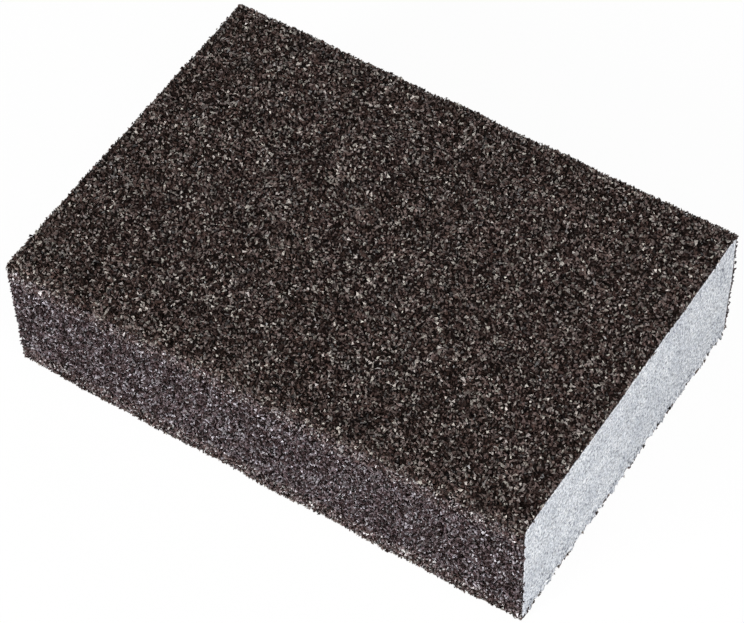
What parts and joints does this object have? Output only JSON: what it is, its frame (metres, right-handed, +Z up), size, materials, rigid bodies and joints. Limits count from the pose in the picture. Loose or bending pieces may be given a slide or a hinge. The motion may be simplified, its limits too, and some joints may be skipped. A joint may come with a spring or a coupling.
{
  "type": "sanding sponge",
  "caption": "Rectangular foam sanding block with coarse dark grit bonded round its long faces and bare pale foam at its cut ends.",
  "frame": {"origin": "middle of the face that the sponge rests on", "axes": "+X along the length, out of one bare foam end; +Y across the width; +Z up, through the thickness"},
  "size_m": [0.1, 0.0698, 0.027],
  "materials": {
    "pale_foam": "matte",
    "grit_and_resin": "matte"
  },
  "bodies": {
    "root": {"foam_block": "pale_foam", "abrasive_coat": "grit_and_resin"}
  },
  "joints": []
}
